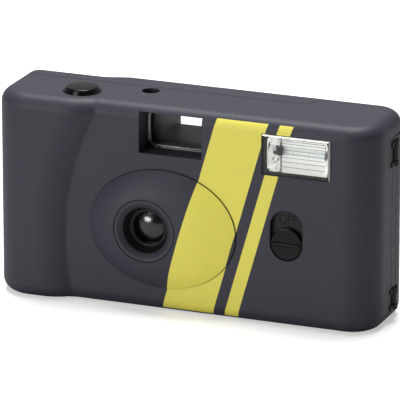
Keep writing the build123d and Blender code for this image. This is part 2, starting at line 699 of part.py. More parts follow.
def make_thumbwheel():
    rim = toothed_wheel(TAKEUP_X, TAKEUP_Y, WHEEL_RIBS, WHEEL_R - 0.5, WHEEL_R, 0.9)
    wheel = prism_z(rim, WHEEL_Z)
    wheel -= tube_z(TAKEUP_X, TAKEUP_Y, WHEEL_R - 2.2, 4.0, (WHEEL_Z[0] + 1.4, WHEEL_Z[1] + 1))
    return wheel - rod_z(TAKEUP_X, TAKEUP_Y, 1.8 + RUNNING, (40, WHEEL_Z[1] - 0.8))


def make_ratchet_leaf():
    """Leaf beside the wheel rim that stops it turning back."""
    foot = block((-31.0, -28.6), (-9.2, -8.0), (TOP_DECK_Z[1], 51.8))
    blade = block((-30.2, -29.7), (-9.2, -1.5), (49.0, 51.8))
    tip = block((-31.5, -29.7), (-2.1, -1.5), (49.0, 51.8))
    return foot + blade + tip


def make_sprocket_wheel():
    outline = toothed_wheel(SPROCKET_X, SPROCKET_Y, SPROCKET_TEETH, SPROCKET_R, SPROCKET_R + 1.1, 0.3)
    wheel = prism_z(outline, grown((PERFORATION_Z, PERFORATION_Z), 0.9))
    wheel += rod_z(SPROCKET_X, SPROCKET_Y, SPROCKET_R, (39.2, 42.5))
    wheel += rod_z(SPROCKET_X, SPROCKET_Y, 1.5, (38.2, 47.0))
    wheel += rod_z(SPROCKET_X, SPROCKET_Y, 1.1, (46.0, 57.1))
    finger = block((SPROCKET_X, SPROCKET_X + 2.9), grown((SPROCKET_Y, SPROCKET_Y), 0.4), (56.0, 57.1))
    return wheel + finger


def make_counter_dial():
    outline = toothed_wheel(DIAL_X, DIAL_Y, DIAL_TEETH, DIAL_R - 1.1, DIAL_R - 0.5, 0.7)
    dial = prism_z(outline, (DIAL_Z[0], DIAL_Z[1])) + rod_z(DIAL_X, DIAL_Y, DIAL_R, (DIAL_Z[1], DIAL_Z[2]))
    return dial - rod_z(DIAL_X, DIAL_Y, DIAL_POST_R + RUNNING, (50, 60))


def make_counter_window():
    return rod_z(COUNTER_HOLE_X, COUNTER_HOLE_Y, COUNTER_HOLE_R - 0.05, (60.3, 61.3))


# Rewind crank on the base

def make_rewind_hub():
    hub = rod_z(CARTRIDGE_X, CARTRIDGE_Y, CRANK_RECESS_R - 0.25, CRANK_DISC_Z)
    hub -= rod_z(CRANK_KNOB_X, CARTRIDGE_Y, 2.3, (0, 3))
    hub += rod_z(CARTRIDGE_X, CARTRIDGE_Y, 3.0, (CRANK_DISC_Z[0], 3.25))
    hub += rod_z(CARTRIDGE_X, CARTRIDGE_Y, 1.6, (3.0, 6.0))
    ear_x = grown((CRANK_PIVOT_X, CRANK_PIVOT_X), 1.2)
    for side in (-1, 1):
        ear_mid = CARTRIDGE_Y + side * 2.2
        hub += block(ear_x, grown((ear_mid, ear_mid), 0.45), (0.15, CRANK_DISC_Z[0] + 0.1))
    return hub + rod_y(CRANK_PIVOT_X, CRANK_PIVOT_Z, CRANK_PIN_R, grown((CARTRIDGE_Y, CARTRIDGE_Y), 2.4))


def make_rewind_fork():
    fork = tube_z(CARTRIDGE_X, CARTRIDGE_Y, 2.6, 1.6, (3.35, 5.0))
    for side in (-1, 1):
        prong_mid = CARTRIDGE_X + side * 2.1
        fork += block(grown((prong_mid, prong_mid), 0.45), grown((CARTRIDGE_Y, CARTRIDGE_Y), 0.7), (4.5, 8.0))
    return fork - rod_z(CARTRIDGE_X, CARTRIDGE_Y, 1.6, (0, 10))


def make_crank_arm():
    middle = (CARTRIDGE_Y, CARTRIDGE_Y)
    arm = block((CRANK_PIVOT_X, CRANK_KNOB_X), grown(middle, 1.6), CRANK_ARM_Z)
    arm += rod_y(CRANK_PIVOT_X, CRANK_PIVOT_Z, 0.45, grown(middle, 1.6))
    arm += rod_z(CRANK_KNOB_X, CARTRIDGE_Y, 2.4, CRANK_ARM_Z)
    arm += rod_z(CRANK_KNOB_X, CARTRIDGE_Y, 0.6, (CRANK_ARM_Z[0], CRANK_DISC_Z[1]))
    return arm - rod_y(CRANK_PIVOT_X, CRANK_PIVOT_Z, CRANK_PIN_R + 0.03, grown(middle, 5.0))


def make_crank_knob():
    level = (CRANK_ARM_Z[1] + 0.05, CRANK_DISC_Z[1] - 0.1)
    return tube_z(CRANK_KNOB_X, CARTRIDGE_Y, 1.9, 0.6 + RUNNING, level)


def make_rewind_button():
    button = rod_z(REWIND_BUTTON_X, REWIND_BUTTON_Y, 2.15, (0.2, 2.0))
    button += rod_z(REWIND_BUTTON_X, REWIND_BUTTON_Y, 2.8, (1.85, 2.05))
    return button + rod_z(REWIND_BUTTON_X, REWIND_BUTTON_Y, 0.9, (1.9, 37.2))


def make_rewind_button_spring():
    return tube_z(REWIND_BUTTON_X, REWIND_BUTTON_Y, 2.1, 1.5, (2.06, 2.84))


# Lens

def make_lens_fascia():
    """Oval cover with a smooth dome that rises off centre to the lens ring."""
    edge = Pos(FASCIA_X, LENS_Z) * Ellipse(FASCIA_HALF_WIDTH, FASCIA_HALF_HEIGHT)
    base = prism_y(edge, (FRONT_Y - FASCIA_STEP, FRONT_Y + FASCIA_SEAT - 0.2))
    start_y = FRONT_Y - FASCIA_STEP
    rise = start_y - RING_FRONT_Y
    sections = []
    for index in range(DOME_SECTIONS):
        s = index / (DOME_SECTIONS - 1)
        x = FASCIA_X + (LENS_X - FASCIA_X) * s
        half_width = FASCIA_HALF_WIDTH + (RING_R + 0.2 - FASCIA_HALF_WIDTH) * s
        half_height = FASCIA_HALF_HEIGHT + (RING_R + 0.1 - FASCIA_HALF_HEIGHT) * s
        y = start_y - rise * (1 - (1 - s) ** DOME_POWER)
        sections.append(front_plane(y) * (Pos(x, LENS_Z) * Ellipse(half_width, half_height)))
    return base + loft(sections) - rod_y(LENS_X, LENS_Z, RING_R + 0.08, (-30, 0))


def make_lens_ring():
    """Ring with a narrow flat face and a cone down to the bore."""
    bevel = 0.25
    return lathe_y((
        (BORE_R, BORE_EDGE_Y), (RING_FACE_R, RING_FRONT_Y + 0.05), (RING_FACE_R + bevel, RING_FRONT_Y),
        (RING_R - bevel, RING_FRONT_Y), (RING_R, RING_FRONT_Y + bevel),
        (RING_R, -12.6), (BARREL_HOLE_R - 0.1, -12.6), (BARREL_HOLE_R - 0.1, -11.4), (BORE_R, -11.4),
    ), LENS_X, LENS_Z)


def make_lens_barrel():
    """Black barrel with a cone at its mouth, a seat for the glass and a rear stop."""
    outer = BORE_R - 0.02
    mouth_y = BORE_EDGE_Y + 0.1
    seat = RETAINER_R + 0.02
    stop_y = GLASS_EDGE_Y[1] + 0.05
    return lathe_y((
        (outer, mouth_y), (6.95, mouth_y), (5.6, -13.4), (seat, -13.4),
        (seat, GLASS_EDGE_Y[0]), (GLASS_R + 0.03, GLASS_EDGE_Y[0]), (GLASS_R + 0.03, stop_y),
        (2.6, stop_y), (2.6, -10.0), (outer, -10.0),
    ), LENS_X, LENS_Z)


def make_lens_retainer():
    bevel = 0.3
    rear_y = GLASS_EDGE_Y[0] - 0.05
    return lathe_y((
        (RETAINER_R, RETAINER_FRONT_Y), (RETAINER_R, rear_y), (GLASS_OPENING_R, rear_y),
        (GLASS_OPENING_R, RETAINER_FRONT_Y + bevel), (GLASS_OPENING_R + bevel, RETAINER_FRONT_Y),
    ), LENS_X, LENS_Z)


def sphere_depth(sphere_r, r):
    """Depth of a spherical cap of a given rim radius."""
    return sphere_r - math.sqrt(sphere_r ** 2 - r ** 2)


def make_lens_element():
    """Front lens: a domed front face and a shallow hollow rear face."""
    cap_r = GLASS_OPENING_R - 0.05
    top_y = GLASS_EDGE_Y[0] - sphere_depth(GLASS_FRONT_SPHERE_R, cap_r)
    cap = Pos(LENS_X, top_y + GLASS_FRONT_SPHERE_R, LENS_Z) * Sphere(GLASS_FRONT_SPHERE_R)
    cap &= rod_y(LENS_X, LENS_Z, cap_r, (top_y - 1, GLASS_EDGE_Y[0] + 0.2))
    hollow_y = GLASS_EDGE_Y[1] - 0.5 + GLASS_REAR_SPHERE_R
    hollow = Pos(LENS_X, hollow_y, LENS_Z) * Sphere(GLASS_REAR_SPHERE_R)
    return rod_y(LENS_X, LENS_Z, GLASS_R, GLASS_EDGE_Y) + cap - hollow


# Shutter

def make_aperture_plate():
    outline = rectangle_at((LENS_X - 13.5, LENS_X + 8.5), (LENS_Z - 8.5, LENS_Z + 14.5), 1.5)
    plate = prism_y(outline, APERTURE_Y)
    plate -= rod_y(LENS_X, LENS_Z, APERTURE_R, (-20, 0))
    return plate - rod_y(BLADE_X, BLADE_Z, BLADE_PIN_R + RUNNING, (-20, 0))


def make_shutter_base():
    outline = rectangle_at((LENS_X - 14.5, LENS_X + 9.5), (LENS_Z - 9.5, LENS_Z + 15.5), 1.5)
    plate = prism_y(outline, SHUTTER_BASE_Y) - rod_y(LENS_X, LENS_Z, 4.6, (-20, 0))
    return plate + rod_y(BLADE_X, BLADE_Z, BLADE_PIN_R, (APERTURE_Y[0], SHUTTER_BASE_Y[1] - 0.2))


def make_shutter_blade():
    """Blade that covers the aperture and swings about its pin."""
    reach = math.hypot(LENS_X - BLADE_X, LENS_Z - BLADE_Z)
    angle = math.degrees(math.atan2(LENS_Z - BLADE_Z, LENS_X - BLADE_X))
    tail = 4.4
    link = Pos((reach - tail) / 2, 0) * Rectangle(reach + tail, 2.4)
    blade = prism_y(Pos(BLADE_X, BLADE_Z) * Rot(0, 0, angle) * link, BLADE_Y)
    blade += rod_y(LENS_X, LENS_Z, 3.0, BLADE_Y) + rod_y(BLADE_X, BLADE_Z, 1.9, BLADE_Y)
    return blade - rod_y(BLADE_X, BLADE_Z, BLADE_PIN_R + RUNNING, (-20, 0))


def make_shutter_spring():
    return tube_y(BLADE_X, BLADE_Z, 1.5, 1.0, (BLADE_Y[1] + 0.05, SHUTTER_BASE_Y[0] - 0.05))


def make_release_lever():
    """Rocker: the button presses its pad and its lower arm swings over the shutter."""
    points = (
        (-36.9, 53.7), (-26.0, 52.6), (-23.4, 50.4), (-20.4, 41.4),
        (-22.2, 41.0), (-26.4, 48.8), (-36.9, 52.9),
    )
    lever = prism_y(make_face(Polyline(*points, close=True)), LEVER_Y)
    pad_x = (BUTTON_X - 2.4, BUTTON_X + 1.6)
    lever += block(pad_x, (LEVER_Y[0], BUTTON_Y + 1.6), (53.9, 54.6)) + block(pad_x, LEVER_Y, (53.2, 54.6))
    lever += rod_y(LEVER_X, LEVER_Z, 2.0, LEVER_Y)
    return lever - rod_y(LEVER_X, LEVER_Z, LEVER_PIN_R + RUNNING, (-20, 0))


# Shutter button

def make_shutter_button():
    flange_z = (59.2, 60.0)
    return lathe_z((
        (0, BUTTON_TOP_Z), (3.4, BUTTON_TOP_Z - 0.08), (BUTTON_TOP_R - 0.35, BUTTON_TOP_Z - 0.2),
        (BUTTON_TOP_R - 0.1, BUTTON_TOP_Z - 0.4), (BUTTON_TOP_R + 0.05, BUTTON_TOP_Z - 0.75),
        (BUTTON_R - 0.1, BODY_HEIGHT + 0.15), (BUTTON_R, BODY_HEIGHT - 0.2),
        (BUTTON_R, flange_z[1]), (BUTTON_FLANGE_R, flange_z[1]), (BUTTON_FLANGE_R, flange_z[0]),
        (BUTTON_STEM_R, flange_z[0]), (BUTTON_STEM_R, BUTTON_STEM_Z), (0, BUTTON_STEM_Z),
    ), BUTTON_X, BUTTON_Y)


def make_button_spring():
    return tube_z(BUTTON_X, BUTTON_Y, 3.4, 2.6, (57.35, 59.15))


# Viewfinder

def make_finder_tunnel():
    """Black tunnel that tapers from the window to the eyepiece, with a flange in front."""
    front_y = FINDER_WINDOW_Y[1] + JOINT_GAP
    front_x = grown(FINDER_X, -FINDER_LEDGE)
    front_z = grown(FINDER_Z, -FINDER_LEDGE)
    wall = FINDER_TUNNEL_WALL
    outer = loft([
        front_plane(front_y) * rectangle_at(grown(front_x, wall), grown(front_z, wall)),
        front_plane(EYEPIECE_Y[0] - 0.1) * rectangle_at(grown(EYEPIECE_X, wall), grown(EYEPIECE_Z, wall)),
    ])
    inner = loft([
        front_plane(front_y - 0.01) * rectangle_at(front_x, front_z),
        front_plane(EYEPIECE_Y[0]) * rectangle_at(EYEPIECE_X, EYEPIECE_Z),
    ])
    flange = block(grown(FINDER_X, 0.1), (front_y, front_y + 0.6), (FINDER_Z[0] - 0.1, FINDER_Z[1] - 0.2))
    return outer + flange - inner


def make_finder_window():
    return block(grown(FINDER_X, 0.5), FINDER_WINDOW_Y, (FINDER_Z[0] - 0.5, FINDER_Z[1] - 0.1))


def make_eyepiece_frame():
    """Frame whose hole widens towards the eye."""
    frame_z = (EYEPIECE_Z[0] - 1.1, EYEPIECE_Z[1] + 1.5)
    frame = prism_y(rectangle_at(grown(EYEPIECE_X, 1.5), frame_z, 1.0), EYEPIECE_Y)
    rear_x = grown(EYEPIECE_X, EYEPIECE_FLARE[0])
    rear_z = grown(EYEPIECE_Z, EYEPIECE_FLARE[1])
    hole = loft([
        front_plane(EYEPIECE_Y[0]) * rectangle_at(EYEPIECE_X, EYEPIECE_Z),
        front_plane(EYEPIECE_Y[1]) * rectangle_at(rear_x, rear_z),
    ])
    return frame - hole


def make_eyepiece_lens():
    return block(grown(EYEPIECE_X, -0.05), (EYEPIECE_Y[0] + 0.05, 16.2), grown(EYEPIECE_Z, -0.05))


# Flash

def make_flash_cover():
    outline = rectangle_at(grown(FLASH_X, -0.2), grown(FLASH_Z, -0.2), 0.4)
    cover = prism_y(outline, (FRONT_Y - FLASH_PROUD, -11.9))
    return chamfer(cover.faces().sort_by(Axis.Y)[0].edges(), 0.35)


def flash_section(half_width, half_height, y):
    """Rounded rectangle around the middle of the flash."""
    outline = RectangleRounded(2 * half_width, 2 * half_height, 1.3)
    return front_plane(y) * (Pos(FLASH_MID_X, FLASH_MID_Z) * outline)


def make_flash_frame():
    """Black frame around the mouth of the reflector."""
    frame = prism_y(rectangle_at(grown(FLASH_X, -0.25), grown(FLASH_Z, -0.25), 0.4), (-11.85, -11.25))
    return frame - extrude(flash_section(9.75, 5.65, -10.0), amount=5.0)


def make_flash_reflector():
    """Open trough that narrows from the mouth to the back, with a hole for the tube at each end."""
    outer = loft([
        flash_section(9.6, 5.5, -11.8), flash_section(8.6, 4.7, -10.0), flash_section(6.9, 2.6, -6.4)])
    inner = loft([
        flash_section(9.3, 5.2, -11.9), flash_section(8.2, 4.2, -10.0), flash_section(6.5, 2.1, -6.9)])
    return outer - inner - rod_x(FLASH_TUBE_Y, FLASH_MID_Z, FLASH_TUBE_R + 0.1, FLASH_X)


def make_flash_tube():
    return rod_x(FLASH_TUBE_Y, FLASH_MID_Z, FLASH_TUBE_R, grown((FLASH_MID_X, FLASH_MID_X), 8.4))


def make_switch_panel():
    """Black cup behind the switch slot, with a guide slot in its floor."""
    cup = prism_y(stadium(SWITCH_X, SWITCH_Z, SLOT_WIDTH - 0.08, SLOT_HEIGHT - 0.08), (FRONT_Y + 0.05, -10.9))
    hollow = prism_y(stadium(SWITCH_X, SWITCH_Z, SLOT_WIDTH - 0.4, SLOT_HEIGHT - 0.4), (-20, SWITCH_FLOOR_Y))
    guide_width = 2 * KNOB_STEM_R + 0.2
    guide_z = KNOB_REST_Z - KNOB_STEM_DROP + KNOB_TRAVEL / 2
    guide = prism_y(stadium(SWITCH_X, guide_z, guide_width, guide_width + KNOB_TRAVEL + 0.1), (-20, -5))
    return cup - hollow - guide


def make_flash_switch():
    knob = rod_y(SWITCH_X, KNOB_REST_Z, KNOB_R, (FRONT_Y + 0.1, SWITCH_FLOOR_Y - 0.1))
    knob = fillet(knob.faces().sort_by(Axis.Y)[0].edges(), 0.35)
    middle = (KNOB_REST_Z, KNOB_REST_Z)
    ridge = block(grown((SWITCH_X, SWITCH_X), 4.2), (FRONT_Y - 0.75, FRONT_Y + 0.3), grown(middle, 0.55))
    ridge = chamfer(ridge.faces().sort_by(Axis.Y)[0].edges(), 0.3)
    stem_z = KNOB_REST_Z - KNOB_STEM_DROP
    stem = rod_y(SWITCH_X, stem_z, KNOB_STEM_R, (SWITCH_FLOOR_Y - 0.5, -10.4))
    shoe = block(grown((SWITCH_X, SWITCH_X), 2.2), (-10.8, -10.2), grown((stem_z, stem_z), 2.2))
    return knob + ridge + stem + shoe


def make_switch_contact():
    level = (29.0, 33.0)
    return block((28.9, 29.3), (-9.9, BOARD_Y[0]), level) + block((28.9, 31.6), (-9.9, -9.6), level)


def make_flash_board():
    return block(BOARD_X, BOARD_Y, (3.5, 58.0))


def make_flash_capacitor():
    can = rod_x(-4.8, 7.9, 4.3, (-27.0, -1.0))
    return fillet(can.edges(), 0.5)


def make_flash_transformer():
    return block((10.6, 18.4), (-4.0, BOARD_Y[0]), (54.0, 58.8))


def make_ready_lamp():
    return rod_y(LAMP_X, LAMP_Z, LAMP_R - 0.08, (BOARD_Y[1] + 0.05, REAR_Y + 0.15))


# Battery parts

def make_battery_door():
    plate = block((HATCH_X, HATCH_HINGE_X), HATCH_Y, (0.0, 1.5))
    plate = fillet(plate.edges().filter_by(Axis.Z).sort_by(Axis.X)[:2], 0.8)
    rib = block((HATCH_X + 1.0, HATCH_X + 2.2), grown(HATCH_Y, -2.0), (1.4, 1.85))
    barrel = rod_y(HATCH_HINGE_X, HATCH_HINGE_Z, 0.85, HATCH_Y)
    door = (plate & outer_form) + rib + barrel
    return door - rod_y(HATCH_HINGE_X, HATCH_HINGE_Z, HATCH_PIN_R + PIN_CLEARANCE, (-20, 20))


def make_battery_hinge_pin():
    return rod_y(HATCH_HINGE_X, HATCH_HINGE_Z, HATCH_PIN_R, grown(HATCH_Y, 0.6))


def make_battery_spring():
    """Plain cone in place of the wound contact spring above the cell."""
    top_z = BATTERY_TOP_Z - 0.1
    low_z = top_z - 3.9
    return lathe_z(((2.0, low_z), (2.6, low_z), (4.6, top_z), (4.0, top_z)), BATTERY_X, BATTERY_Y)


def make_battery_contact():
    return rod_z(BATTERY_X, BATTERY_Y, 3.4, (1.52, 1.85))


# Pressure plate and its spring on the door

def make_pressure_plate():
    outline = rectangle_at((LENS_X - 19.6, LENS_X + 19.6), (LENS_Z - 13.2, LENS_Z + 13.2), 1.0)
    return prism_y(outline, (RAIL_Y + 0.35, RAIL_Y + 1.0))


def make_pressure_spring():
    """Bowed leaf between the plate and the door."""
    span = 12.0
    thick = 0.2
    front = RAIL_Y + 1.05 + thick
    rear = REAR_Y - DOOR_WALL - 0.05
    outline = (
        ThreePointArc((-span, rear), (0, front), (span, rear))
        + Line((span, rear), (span, rear - thick))
        + ThreePointArc((span, rear - thick), (0, front - thick), (-span, rear - thick))
        + Line((-span, rear - thick), (-span, rear))
    )
    return prism_z(Pos(LENS_X, 0) * make_face(outline), grown((LENS_Z, LENS_Z), 3.0))


# Screws

def make_case_screws():
    screws = []
    for x, y in SCREW_FRONT + SCREW_REAR:
        screw = rod_z(x, y, SCREW_HEAD_R, (0.35, 1.08)) + rod_z(x, y, SCREW_R, (1.0, 6.0))
        screw -= block(grown((x, x), 0.9), grown((y, y), 0.2), (0.0, 0.65))
        screw -= block(grown((x, x), 0.2), grown((y, y), 0.9), (0.0, 0.65))
        screws.append(screw)
    return screws


save("front_shell", make_front_shell())
save("rear_shell", make_rear_shell())
save("film_door", make_film_door())
save("door_light_seals", *make_door_light_seals())
save("hinge_brackets", *make_hinge_brackets())
save("door_hinge_leaves", *make_door_hinge_leaves())
save("hinge_pins", *make_hinge_pins())
save("door_latch", make_door_latch())
save("latch_spring", make_latch_spring())
save("film_chassis", make_film_chassis())
save("light_tunnel", make_light_tunnel())
save("mechanism_deck", make_mechanism_deck())
save("battery_holder", make_battery_holder())
save("takeup_spool", make_takeup_spool())
save("thumbwheel", make_thumbwheel())
save("ratchet_leaf", make_ratchet_leaf())
save("sprocket_wheel", make_sprocket_wheel())
save("counter_dial", make_counter_dial())
save("counter_window", make_counter_window())
save("rewind_hub", make_rewind_hub())
save("rewind_fork", make_rewind_fork())
save("crank_arm", make_crank_arm())
save("crank_knob", make_crank_knob())
save("rewind_button", make_rewind_button())
save("rewind_button_spring", make_rewind_button_spring())
save("lens_fascia", make_lens_fascia())
save("lens_ring", make_lens_ring())
save("lens_barrel", make_lens_barrel())
save("lens_retainer", make_lens_retainer())
save("lens_element", make_lens_element())
save("aperture_plate", make_aperture_plate())
save("shutter_base", make_shutter_base())
save("shutter_blade", make_shutter_blade())
save("shutter_spring", make_shutter_spring())
save("release_lever", make_release_lever())
save("shutter_button", make_shutter_button())
save("button_spring", make_button_spring())
save("finder_tunnel", make_finder_tunnel())
save("finder_window", make_finder_window())
save("eyepiece_frame", make_eyepiece_frame())
save("eyepiece_lens", make_eyepiece_lens())
save("flash_cover", make_flash_cover())
save("flash_frame", make_flash_frame())
save("flash_reflector", make_flash_reflector())
save("flash_tube", make_flash_tube())
save("switch_panel", make_switch_panel())
save("flash_switch", make_flash_switch())
save("switch_contact", make_switch_contact())
save("flash_board", make_flash_board())
save("flash_capacitor", make_flash_capacitor())
save("flash_transformer", make_flash_transformer())
save("ready_lamp", make_ready_lamp())
save("battery_door", make_battery_door())
save("battery_hinge_pin", make_battery_hinge_pin())
save("battery_spring", make_battery_spring())
save("battery_contact", make_battery_contact())
save("pressure_plate", make_pressure_plate())
save("pressure_spring", make_pressure_spring())
save("case_screws", *make_case_screws())
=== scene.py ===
import json
import math
import random

import bmesh
import bpy
from mathutils import Matrix, Vector


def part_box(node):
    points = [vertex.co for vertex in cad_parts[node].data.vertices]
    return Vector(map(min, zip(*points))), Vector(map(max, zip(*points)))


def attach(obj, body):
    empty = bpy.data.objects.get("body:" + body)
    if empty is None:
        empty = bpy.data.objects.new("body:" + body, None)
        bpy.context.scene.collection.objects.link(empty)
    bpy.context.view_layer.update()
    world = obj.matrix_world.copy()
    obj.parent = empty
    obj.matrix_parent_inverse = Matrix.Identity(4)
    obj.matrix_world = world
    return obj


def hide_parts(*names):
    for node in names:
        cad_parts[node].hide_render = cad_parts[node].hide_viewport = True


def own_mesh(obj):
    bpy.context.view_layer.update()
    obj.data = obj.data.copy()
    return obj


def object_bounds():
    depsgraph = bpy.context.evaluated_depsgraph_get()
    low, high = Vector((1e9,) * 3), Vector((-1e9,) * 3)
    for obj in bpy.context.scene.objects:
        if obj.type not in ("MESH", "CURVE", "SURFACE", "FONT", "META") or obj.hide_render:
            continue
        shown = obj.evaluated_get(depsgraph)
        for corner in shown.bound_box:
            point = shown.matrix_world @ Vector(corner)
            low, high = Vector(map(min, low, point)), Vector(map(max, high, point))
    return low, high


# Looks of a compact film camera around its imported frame.
# Metres. +X is the right of the front view, the front faces -Y, +Z is up.

MM = 0.001

# Photograph's view: turn to the right, height above the horizon, distance and lens
VIEW_TURN = math.radians(21.7)
VIEW_RISE = math.radians(17.8)
VIEW_DISTANCE = 1.462
VIEW_LENS = 450.0
SENSOR_WIDTH = 36.0
LOOK_AT = Vector((0.07, 1.23, 30.8)) * MM

# Colours as they show on screen, from 0 to 1
GREY = (0.205, 0.205, 0.246)
YELLOW = (0.890, 0.850, 0.372)
BLACK = (0.074, 0.071, 0.082)
DEEP_BLACK = (0.040, 0.039, 0.043)

# Strength of the surroundings: for matt light, and as reflected in front and behind
AMBIENT = 0.10
GLOSS_FRONT = 0.08
GLOSS_BACK = 0.36

# Floor: its tone and glow as the camera sees it, and the share of light it gives the object
FLOOR_SEEN = 0.8
FLOOR_GLOW = 0.45
FLOOR_BOUNCE = 0.58
FLOOR_SIZE = 12.0
FLOOR_GAP = 0.02 * MM

# Lamps: name, place, width and height, power in watts
LAMPS = (
    ("lamp_above", (-0.1, 0.24, 1.1), (0.8, 0.8), 19.8),
    ("lamp_front", (-0.45, -0.90, 0.75), (0.6, 0.4), 2.2),
    ("lamp_left", (-0.52, -1.08, 0.20), (0.50, 0.26), 5.4),
)

# Space between the reflector's trough and the foil cap at each of its ends
CAP_GAP = 0.35 * MM

# Strength of the mirrored light on moulded and on polished plastic
MOULDED_SPECULAR = 0.28
POLISHED_SPECULAR = 0.22

# Stripes across the front: slant, then centre at the base and half width of each
STRIPE_LEAN = 0.285
STRIPES = ((1.3 * MM, 7.9 * MM), (14.8 * MM, 2.1 * MM))
STRIPE_LOW = 1.1 * MM
STRIPE_TOP = 60.7 * MM
STRIPE_REAR = -8.5 * MM

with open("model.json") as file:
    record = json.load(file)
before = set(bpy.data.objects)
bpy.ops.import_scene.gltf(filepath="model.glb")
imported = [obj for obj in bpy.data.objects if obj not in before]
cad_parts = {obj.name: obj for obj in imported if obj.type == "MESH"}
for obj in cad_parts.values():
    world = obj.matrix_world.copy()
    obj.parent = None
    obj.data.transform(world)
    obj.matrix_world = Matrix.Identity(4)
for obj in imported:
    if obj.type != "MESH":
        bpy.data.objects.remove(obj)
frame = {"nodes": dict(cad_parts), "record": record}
cad_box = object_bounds()


# Node graph helpers

class Graph:
    """A material's nodes, with short calls for the nodes used here."""

    def __init__(self, name):
        self.material = bpy.data.materials.new(name)
        self.material.use_nodes = True
        self.tree = self.material.node_tree
        self.tree.nodes.clear()
        self.output = self.tree.nodes.new("ShaderNodeOutputMaterial")
        self.place = self.add("ShaderNodeTexCoord").outputs["Object"]

    def add(self, kind, **settings):
        node = self.tree.nodes.new(kind)
        for key, value in settings.items():
            setattr(node, key, value)
        return node

    def put(self, socket, value):
        """Link a socket to another one, or set its value."""
        if isinstance(value, bpy.types.NodeSocket):
            self.tree.links.new(value, socket)
        else:
            socket.default_value = value

    def feed(self, node, **inputs):
        """Set or link inputs. A double underscore stands for a space in a socket's name."""
        for key, value in inputs.items():
            self.put(node.inputs[key.replace("__", " ")], value)
        return node

    def math(self, operation, first, second=0.0, third=0.0):
        node = self.add("ShaderNodeMath", operation=operation)
        for socket, value in zip(node.inputs, (first, second, third)):
            self.put(socket, value)
        return node.outputs[0]

    def axes(self, vector=None):
        split = self.add("ShaderNodeSeparateXYZ")
        self.tree.links.new(vector or self.place, split.inputs[0])
        return split.outputs

    def noise(self, size, detail=2.0, stretch=(1, 1, 1)):
        """Noise with features of a size in metres, longer along the stretched axes."""
        mapping = self.add("ShaderNodeMapping")
        self.feed(mapping, Vector=self.place, Scale=tuple(1 / s for s in stretch))
        texture = self.add("ShaderNodeTexNoise")
        self.feed(texture, Vector=mapping.outputs[0], Scale=1 / size, Detail=detail)
        return texture.outputs["Fac"]

    def span(self, value, low, high):
        """Map a 0 to 1 value to a range."""
        node = self.add("ShaderNodeMapRange")
        self.feed(node, Value=value, To__Min=low, To__Max=high)
        return node.outputs[0]

    def blend(self, factor, first, second, blend_type="MIX"):
        node = self.add("ShaderNodeMix", data_type="RGBA", blend_type=blend_type)
        sockets = [s for s in node.inputs if s.type == "RGBA"]
        self.feed(node, Factor=factor)
        for socket, value in zip(sockets, (first, second)):
            self.put(socket, value)
        return [s for s in node.outputs if s.type == "RGBA"][0]

    def relief(self, height, depth, normal=None, strength=1.0):
        """Bump of a depth in metres."""
        node = self.add("ShaderNodeBump")
        self.feed(node, Height=height, Distance=depth, Strength=strength)
        if normal is not None:
            self.tree.links.new(normal, node.inputs["Normal"])
        return node.outputs[0]

    def soft_edges(self, radius):
        return self.feed(self.add("ShaderNodeBevel", samples=6), Radius=radius).outputs[0]

    def principled(self, **inputs):
        shader = self.feed(self.add("ShaderNodeBsdfPrincipled"), **inputs)
        self.tree.links.new(shader.outputs[0], self.output.inputs["Surface"])
        return self.material


def linear(colour, scale=1.0):
    """Screen colour to the linear colour that nodes use."""
    values = [c / 12.92 if c <= 0.04045 else ((c + 0.055) / 1.055) ** 2.4 for c in colour]
    return (*(v * scale for v in values), 1.0)


# Materials

def stripe_mask(g):
    """1 on the two slanted stripes of the front, 0 elsewhere."""
    edge_wave = 0.04 * MM
    faces_front = -0.05
    x, y, z = g.axes()
    wobble = g.span(g.noise(0.9 * MM), -edge_wave, edge_wave)
    across = g.math("ADD", g.math("MULTIPLY_ADD", z, -STRIPE_LEAN, x), wobble)
    mask = 0.0
    for centre, half_width in STRIPES:
        distance = g.math("ABSOLUTE", g.math("SUBTRACT", across, centre))
        mask = g.math("MAXIMUM", g.math("LESS_THAN", distance, half_width), mask)
    facing = g.axes(g.add("ShaderNodeNewGeometry").outputs["Normal"])[1]
    limits = (
        g.math("LESS_THAN", facing, faces_front),
        g.math("LESS_THAN", y, STRIPE_REAR),
        g.math("GREATER_THAN", z, STRIPE_LOW),
        g.math("LESS_THAN", z, STRIPE_TOP),
    )
    for limit in limits:
        mask = g.math("MULTIPLY", mask, limit)
    return mask


def moulded(name, colour, roughness, grain, edge, stripes=False):
    """Moulded plastic: fine grain, faint mottling and softened edges."""
    spread = 0.05
    paint_depth = 0.02 * MM
    g = Graph(name)
    mottle = g.span(g.noise(7 * MM, 3.0), 0.94, 1.06)
    base = g.blend(1.0, linear(colour), mottle, "MULTIPLY")
    rough = g.span(g.noise(1.6 * MM, 4.0), roughness - spread, roughness + spread)
    fine = g.noise(0.22 * MM, 3.0)
    normal = g.relief(fine, grain, g.soft_edges(edge))
    if stripes:
        mask = stripe_mask(g)
        clouds = g.span(g.noise(4 * MM, 3.0), 0.0, 1.0)
        paint = g.blend(clouds, linear(YELLOW, 0.97), linear(YELLOW, 1.03))
        base = g.blend(mask, base, paint)
        rough = g.math("MULTIPLY_ADD", mask, -0.04, rough)
        normal = g.relief(mask, paint_depth, normal)
    return g.principled(
        Base__Color=base, Roughness=rough, Normal=normal, Specular__IOR__Level=MOULDED_SPECULAR)


